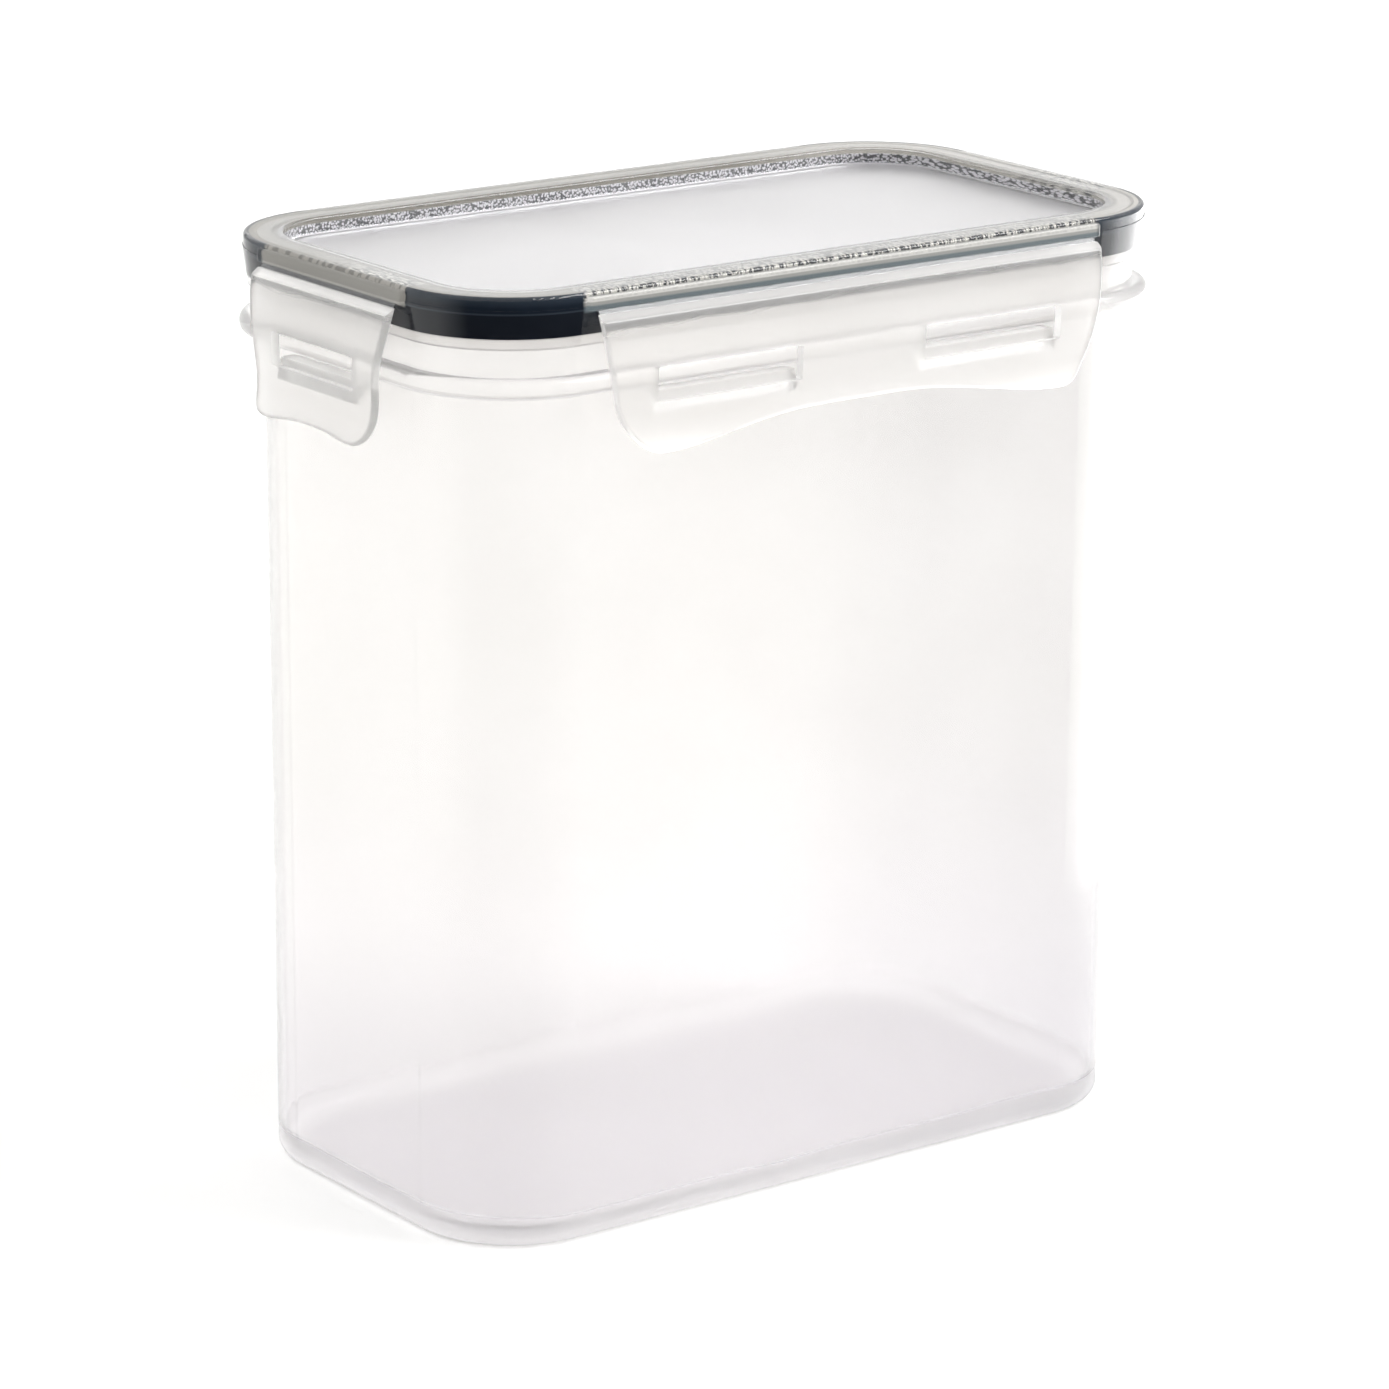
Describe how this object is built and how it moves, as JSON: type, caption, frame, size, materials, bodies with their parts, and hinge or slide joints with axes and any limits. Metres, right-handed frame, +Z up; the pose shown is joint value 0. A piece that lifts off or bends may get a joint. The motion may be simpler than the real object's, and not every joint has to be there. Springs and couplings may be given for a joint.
{
  "type": "food canister",
  "caption": "Tall translucent dry-food canister with rounded corners, a clear lid over a dark silicone gasket, and wide snap latches on living hinges round the lid.",
  "frame": {"origin": "centre of the base, at the level that the canister stands on", "axes": "+Z up, +X along the long sides, -Y out of the front long side"},
  "size_m": [0.2194, 0.128, 0.222],
  "materials": {
    "container": "frosted translucent",
    "lid": "clear, polished",
    "latch": "frosted translucent",
    "gasket": "smooth silicone"
  },
  "bodies": {
    "canister": {"container": "container", "lid": "lid", "gasket": "gasket", "front_hinge_web": "latch", "back_hinge_web": "latch", "left_hinge_web": "latch", "right_hinge_web": "latch"},
    "front_latch": {"front_latch": "latch"},
    "back_latch": {"back_latch": "latch"},
    "left_latch": {"left_latch": "latch"},
    "right_latch": {"right_latch": "latch"}
  },
  "joints": [
    {"name": "front_latch_hinge", "type": "hinge", "parent": "canister", "child": "front_latch", "pos_m": [0, -0.05785, 0.21755], "axis": [-1, 0, 0], "range_deg": [0, 120], "deforming": ["front_hinge_web"]},
    {"name": "back_latch_hinge", "type": "hinge", "parent": "canister", "child": "back_latch", "pos_m": [0, 0.05785, 0.21755], "axis": [1, 0, 0], "range_deg": [0, 120], "deforming": ["back_hinge_web"]},
    {"name": "left_latch_hinge", "type": "hinge", "parent": "canister", "child": "left_latch", "pos_m": [-0.10345, 0, 0.21755], "axis": [0, 1, 0], "range_deg": [0, 120], "deforming": ["left_hinge_web"]},
    {"name": "right_latch_hinge", "type": "hinge", "parent": "canister", "child": "right_latch", "pos_m": [0.10345, 0, 0.21755], "axis": [0, -1, 0], "range_deg": [0, 120], "deforming": ["right_hinge_web"]}
  ]
}
